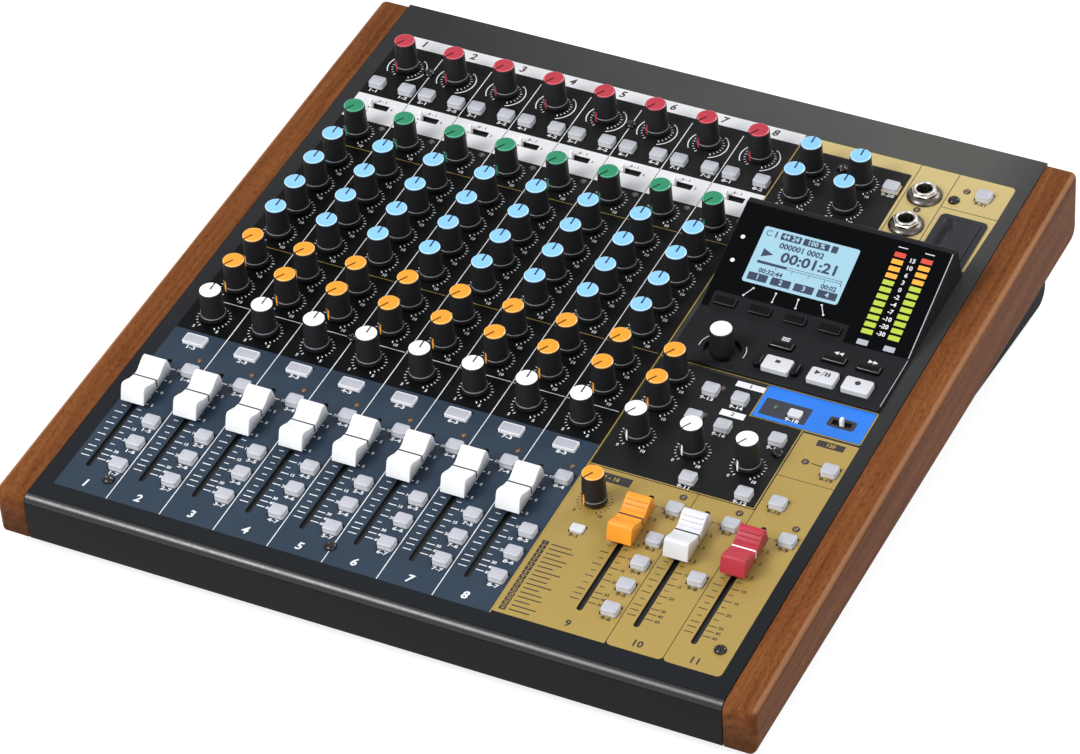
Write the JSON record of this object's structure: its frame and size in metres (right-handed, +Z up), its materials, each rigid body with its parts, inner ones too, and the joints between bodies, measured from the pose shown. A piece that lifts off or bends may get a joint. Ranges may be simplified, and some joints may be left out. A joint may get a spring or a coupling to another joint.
{
  "type": "mixing console",
  "caption": "Sloping audio mixing console between two wooden end panels, with rotary controls, faders, display, transport keys and rear sockets.",
  "frame": {"origin": "middle of the outline at the plane of the feet", "axes": "+X to the right, +Y from the front rail to the rear panel, +Z up; the panel slopes up to the rear by 9 degrees"},
  "size_m": [0.343, 0.3628, 0.0962],
  "materials": {
    "steel": "satin black powder coat",
    "panel": "satin slate and charcoal paint with printed legends",
    "wood": "satin lacquered",
    "board": "matt",
    "housing": "satin charcoal moulding",
    "glass": "polished dark window",
    "plated": "bright",
    "rubber": "matt",
    "red": "satin",
    "green": "satin",
    "blue": "satin",
    "orange": "satin",
    "white": "satin",
    "key": "satin translucent grey",
    "black": "satin"
  },
  "bodies": {
    "console": {"top_panel": "panel", "chassis": "steel", "rear_panel": "steel", "left_wood_panel": "wood", "right_wood_panel": "wood", "control_board": "board", "display_housing": "housing", "display_window": "glass", "phones_jack_board": "plated", "front_left_foot": "rubber", "front_right_foot": "rubber", "rear_left_foot": "rubber", "rear_right_foot": "rubber"},
    "channel_1_gain_knob": {"channel_1_gain_knob": "red"},
    "channel_1_compressor_knob": {"channel_1_compressor_knob": "green"},
    "channel_1_high_knob": {"channel_1_high_knob": "blue"},
    "channel_1_mid_frequency_knob": {"channel_1_mid_frequency_knob": "blue"},
    "channel_1_mid_gain_knob": {"channel_1_mid_gain_knob": "blue"},
    "channel_1_low_knob": {"channel_1_low_knob": "blue"},
    "channel_1_aux_1_knob": {"channel_1_aux_1_knob": "orange"},
    "channel_1_aux_2_knob": {"channel_1_aux_2_knob": "orange"},
    "channel_1_pan_knob": {"channel_1_pan_knob": "white"},
    "master_low_knob": {"master_low_knob": "blue"},
    "master_mid_gain_knob": {"master_mid_gain_knob": "blue"},
    "master_high_knob": {"master_high_knob": "blue"},
    "master_mid_frequency_knob": {"master_mid_frequency_knob": "blue"},
    "aux_1_master_knob": {"aux_1_master_knob": "orange"},
    "aux_2_master_knob": {"aux_2_master_knob": "orange"},
    "monitor_level_knob": {"monitor_level_knob": "white"},
    "phones_1_level_knob": {"phones_1_level_knob": "white"},
    "phones_2_level_knob": {"phones_2_level_knob": "white"},
    "effect_level_knob": {"effect_level_knob": "orange"},
    "jog_dial": {"jog_dial": "white"},
    "channel_1_fader": {"channel_1_fader": "white"},
    "channel_2_fader": {"channel_2_fader": "white"},
    "channel_3_fader": {"channel_3_fader": "white"},
    "channel_4_fader": {"channel_4_fader": "white"},
    "channel_5_fader": {"channel_5_fader": "white"},
    "channel_6_fader": {"channel_6_fader": "white"},
    "channel_7_fader": {"channel_7_fader": "white"},
    "channel_8_fader": {"channel_8_fader": "white"},
    "effect_fader": {"effect_fader": "orange"},
    "sub_fader": {"sub_fader": "white"},
    "main_fader": {"main_fader": "red"},
    "channel_1_low_cut_button": {"channel_1_low_cut_button": "key"},
    "channel_1_instrument_button": {"channel_1_instrument_button": "key"},
    "channel_1_record_button": {"channel_1_record_button": "key"},
    "channel_1_mute_button": {"channel_1_mute_button": "key"},
    "channel_1_main_button": {"channel_1_main_button": "key"},
    "channel_1_sub_button": {"channel_1_sub_button": "key"},
    "channel_1_solo_button": {"channel_1_solo_button": "key"},
    "menu_key": {"menu_key": "black"},
    "rewind_key": {"rewind_key": "black"},
    "forward_key": {"forward_key": "black"},
    "stop_key": {"stop_key": "white"},
    "play_key": {"play_key": "white"},
    "record_key": {"record_key": "white"},
    "channel_1_mode_switch": {"channel_1_mode_switch": "white"},
    "card_slot_door": {"card_slot_door": "housing"},
    "power_rocker": {"power_rocker": "black"}
  },
  "joints": [
    {"name": "channel_1_gain_knob_turn", "type": "hinge", "parent": "console", "child": "channel_1_gain_knob", "pos_m": [-0.1372, 0.12777, 0.07949], "axis": [0, -0.1564, 0.9877], "range_deg": [-300, 0]},
    {"name": "channel_1_compressor_knob_turn", "type": "hinge", "parent": "console", "child": "channel_1_compressor_knob", "pos_m": [-0.1372, 0.07819, 0.07164], "axis": [0, -0.1564, 0.9877], "range_deg": [-300, 0]},
    {"name": "channel_1_high_knob_turn", "type": "hinge", "parent": "console", "child": "channel_1_high_knob", "pos_m": [-0.1372, 0.05744, 0.06836], "axis": [0, -0.1564, 0.9877], "range_deg": [-150, 150]},
    {"name": "channel_1_mid_frequency_knob_turn", "type": "hinge", "parent": "console", "child": "channel_1_mid_frequency_knob", "pos_m": [-0.1372, 0.03966, 0.06554], "axis": [0, -0.1564, 0.9877], "range_deg": [-150, 150]},
    {"name": "channel_1_mid_gain_knob_turn", "type": "hinge", "parent": "console", "child": "channel_1_mid_gain_knob", "pos_m": [-0.1372, 0.02189, 0.06272], "axis": [0, -0.1564, 0.9877], "range_deg": [-150, 150]},
    {"name": "channel_1_low_knob_turn", "type": "hinge", "parent": "console", "child": "channel_1_low_knob", "pos_m": [-0.1372, 0.00411, 0.05991], "axis": [0, -0.1564, 0.9877], "range_deg": [-150, 150]},
    {"name": "channel_1_aux_1_knob_turn", "type": "hinge", "parent": "console", "child": "channel_1_aux_1_knob", "pos_m": [-0.1372, -0.01663, 0.05662], "axis": [0, -0.1564, 0.9877], "range_deg": [-300, 0]},
    {"name": "channel_1_aux_2_knob_turn", "type": "hinge", "parent": "console", "child": "channel_1_aux_2_knob", "pos_m": [-0.1372, -0.03441, 0.05381], "axis": [0, -0.1564, 0.9877], "range_deg": [-300, 0]},
    {"name": "channel_1_pan_knob_turn", "type": "hinge", "parent": "console", "child": "channel_1_pan_knob", "pos_m": [-0.1372, -0.05515, 0.05052], "axis": [0, -0.1564, 0.9877], "range_deg": [-150, 150]},
    {"name": "master_low_knob_turn", "type": "hinge", "parent": "console", "child": "master_low_knob", "pos_m": [0.0628, 0.1093, 0.07657], "axis": [0, -0.1564, 0.9877], "range_deg": [-150, 150]},
    {"name": "master_mid_gain_knob_turn", "type": "hinge", "parent": "console", "child": "master_mid_gain_knob", "pos_m": [0.0628, 0.12777, 0.07949], "axis": [0, -0.1564, 0.9877], "range_deg": [-150, 150]},
    {"name": "master_high_knob_turn", "type": "hinge", "parent": "console", "child": "master_high_knob", "pos_m": [0.0862, 0.1093, 0.07657], "axis": [0, -0.1564, 0.9877], "range_deg": [-150, 150]},
    {"name": "master_mid_frequency_knob_turn", "type": "hinge", "parent": "console", "child": "master_mid_frequency_knob", "pos_m": [0.0862, 0.12777, 0.07949], "axis": [0, -0.1564, 0.9877], "range_deg": [-150, 150]},
    {"name": "aux_1_master_knob_turn", "type": "hinge", "parent": "console", "child": "aux_1_master_knob", "pos_m": [0.0628, -0.01663, 0.05662], "axis": [0, -0.1564, 0.9877], "range_deg": [-300, 0]},
    {"name": "aux_2_master_knob_turn", "type": "hinge", "parent": "console", "child": "aux_2_master_knob", "pos_m": [0.0628, -0.03441, 0.05381], "axis": [0, -0.1564, 0.9877], "range_deg": [-300, 0]},
    {"name": "monitor_level_knob_turn", "type": "hinge", "parent": "console", "child": "monitor_level_knob", "pos_m": [0.0628, -0.05515, 0.05052], "axis": [0, -0.1564, 0.9877], "range_deg": [-300, 0]},
    {"name": "phones_1_level_knob_turn", "type": "hinge", "parent": "console", "child": "phones_1_level_knob", "pos_m": [0.0878, -0.05515, 0.05052], "axis": [0, -0.1564, 0.9877], "range_deg": [-300, 0]},
    {"name": "phones_2_level_knob_turn", "type": "hinge", "parent": "console", "child": "phones_2_level_knob", "pos_m": [0.1128, -0.05515, 0.05052], "axis": [0, -0.1564, 0.9877], "range_deg": [-300, 0]},
    {"name": "effect_level_knob_turn", "type": "hinge", "parent": "console", "child": "effect_level_knob", "pos_m": [0.0628, -0.09674, 0.04394], "axis": [0, -0.1564, 0.9877], "range_deg": [-300, 0]},
    {"name": "jog_dial_turn", "type": "hinge", "parent": "console", "child": "jog_dial", "pos_m": [0.0744, 0.0048, 0.06002], "axis": [0, -0.1564, 0.9877], "continuous": true},
    {"name": "channel_1_fader_slide", "type": "slide", "parent": "console", "child": "channel_1_fader", "axis": [0, 0.9877, 0.1564], "range_m": [-0.0455, 0.0145]},
    {"name": "channel_2_fader_slide", "type": "slide", "parent": "console", "child": "channel_2_fader", "axis": [0, 0.9877, 0.1564], "range_m": [-0.0455, 0.0145]},
    {"name": "channel_3_fader_slide", "type": "slide", "parent": "console", "child": "channel_3_fader", "axis": [0, 0.9877, 0.1564], "range_m": [-0.0455, 0.0145]},
    {"name": "channel_4_fader_slide", "type": "slide", "parent": "console", "child": "channel_4_fader", "axis": [0, 0.9877, 0.1564], "range_m": [-0.0455, 0.0145]},
    {"name": "channel_5_fader_slide", "type": "slide", "parent": "console", "child": "channel_5_fader", "axis": [0, 0.9877, 0.1564], "range_m": [-0.0455, 0.0145]},
    {"name": "channel_6_fader_slide", "type": "slide", "parent": "console", "child": "channel_6_fader", "axis": [0, 0.9877, 0.1564], "range_m": [-0.0455, 0.0145]},
    {"name": "channel_7_fader_slide", "type": "slide", "parent": "console", "child": "channel_7_fader", "axis": [0, 0.9877, 0.1564], "range_m": [-0.0455, 0.0145]},
    {"name": "channel_8_fader_slide", "type": "slide", "parent": "console", "child": "channel_8_fader", "axis": [0, 0.9877, 0.1564], "range_m": [-0.0455, 0.0145]},
    {"name": "effect_fader_slide", "type": "slide", "parent": "console", "child": "effect_fader", "axis": [0, 0.9877, 0.1564], "range_m": [-0.0455, 0.0145]},
    {"name": "sub_fader_slide", "type": "slide", "parent": "console", "child": "sub_fader", "axis": [0, 0.9877, 0.1564], "range_m": [-0.0455, 0.0145]},
    {"name": "main_fader_slide", "type": "slide", "parent": "console", "child": "main_fader", "axis": [0, 0.9877, 0.1564], "range_m": [-0.0455, 0.0145]},
    {"name": "channel_1_low_cut_button_press", "type": "slide", "parent": "console", "child": "channel_1_low_cut_button", "axis": [0, 0.1564, -0.9877], "range_m": [0, 0.001], "stiffness_N_per_m": 800, "springref_m": -0.0005},
    {"name": "channel_1_instrument_button_press", "type": "slide", "parent": "console", "child": "channel_1_instrument_button", "axis": [0, 0.1564, -0.9877], "range_m": [0, 0.001], "stiffness_N_per_m": 800, "springref_m": -0.0005},
    {"name": "channel_1_record_button_press", "type": "slide", "parent": "console", "child": "channel_1_record_button", "axis": [0, 0.1564, -0.9877], "range_m": [0, 0.001], "stiffness_N_per_m": 800, "springref_m": -0.0005},
    {"name": "channel_1_mute_button_press", "type": "slide", "parent": "console", "child": "channel_1_mute_button", "axis": [0, 0.1564, -0.9877], "range_m": [0, 0.001], "stiffness_N_per_m": 800, "springref_m": -0.0005},
    {"name": "channel_1_main_button_press", "type": "slide", "parent": "console", "child": "channel_1_main_button", "axis": [0, 0.1564, -0.9877], "range_m": [0, 0.001], "stiffness_N_per_m": 800, "springref_m": -0.0005},
    {"name": "channel_1_sub_button_press", "type": "slide", "parent": "console", "child": "channel_1_sub_button", "axis": [0, 0.1564, -0.9877], "range_m": [0, 0.001], "stiffness_N_per_m": 800, "springref_m": -0.0005},
    {"name": "channel_1_solo_button_press", "type": "slide", "parent": "console", "child": "channel_1_solo_button", "axis": [0, 0.1564, -0.9877], "range_m": [0, 0.001], "stiffness_N_per_m": 800, "springref_m": -0.0005},
    {"name": "menu_key_press", "type": "slide", "parent": "console", "child": "menu_key", "axis": [0, 0.1564, -0.9877], "range_m": [0, 0.001], "stiffness_N_per_m": 800, "springref_m": -0.0005},
    {"name": "rewind_key_press", "type": "slide", "parent": "console", "child": "rewind_key", "axis": [0, 0.1564, -0.9877], "range_m": [0, 0.001], "stiffness_N_per_m": 800, "springref_m": -0.0005},
    {"name": "forward_key_press", "type": "slide", "parent": "console", "child": "forward_key", "axis": [0, 0.1564, -0.9877], "range_m": [0, 0.001], "stiffness_N_per_m": 800, "springref_m": -0.0005},
    {"name": "stop_key_press", "type": "slide", "parent": "console", "child": "stop_key", "axis": [0, 0.1564, -0.9877], "range_m": [0, 0.001], "stiffness_N_per_m": 800, "springref_m": -0.0005},
    {"name": "play_key_press", "type": "slide", "parent": "console", "child": "play_key", "axis": [0, 0.1564, -0.9877], "range_m": [0, 0.001], "stiffness_N_per_m": 800, "springref_m": -0.0005},
    {"name": "record_key_press", "type": "slide", "parent": "console", "child": "record_key", "axis": [0, 0.1564, -0.9877], "range_m": [0, 0.001], "stiffness_N_per_m": 800, "springref_m": -0.0005},
    {"name": "channel_1_mode_switch_slide", "type": "slide", "parent": "console", "child": "channel_1_mode_switch", "axis": [1, 0, 0], "range_m": [0, 0.00425]},
    {"name": "card_slot_door_turn", "type": "hinge", "parent": "console", "child": "card_slot_door", "pos_m": [0.1453, 0.1038, 0.0758], "axis": [0, 0.9877, 0.1564], "range_deg": [0, 90]},
    {"name": "power_rocker_turn", "type": "hinge", "parent": "console", "child": "power_rocker", "pos_m": [0, 0.17347, 0.06648], "axis": [1, 0, 0], "range_deg": [-16, 0]}
  ]
}
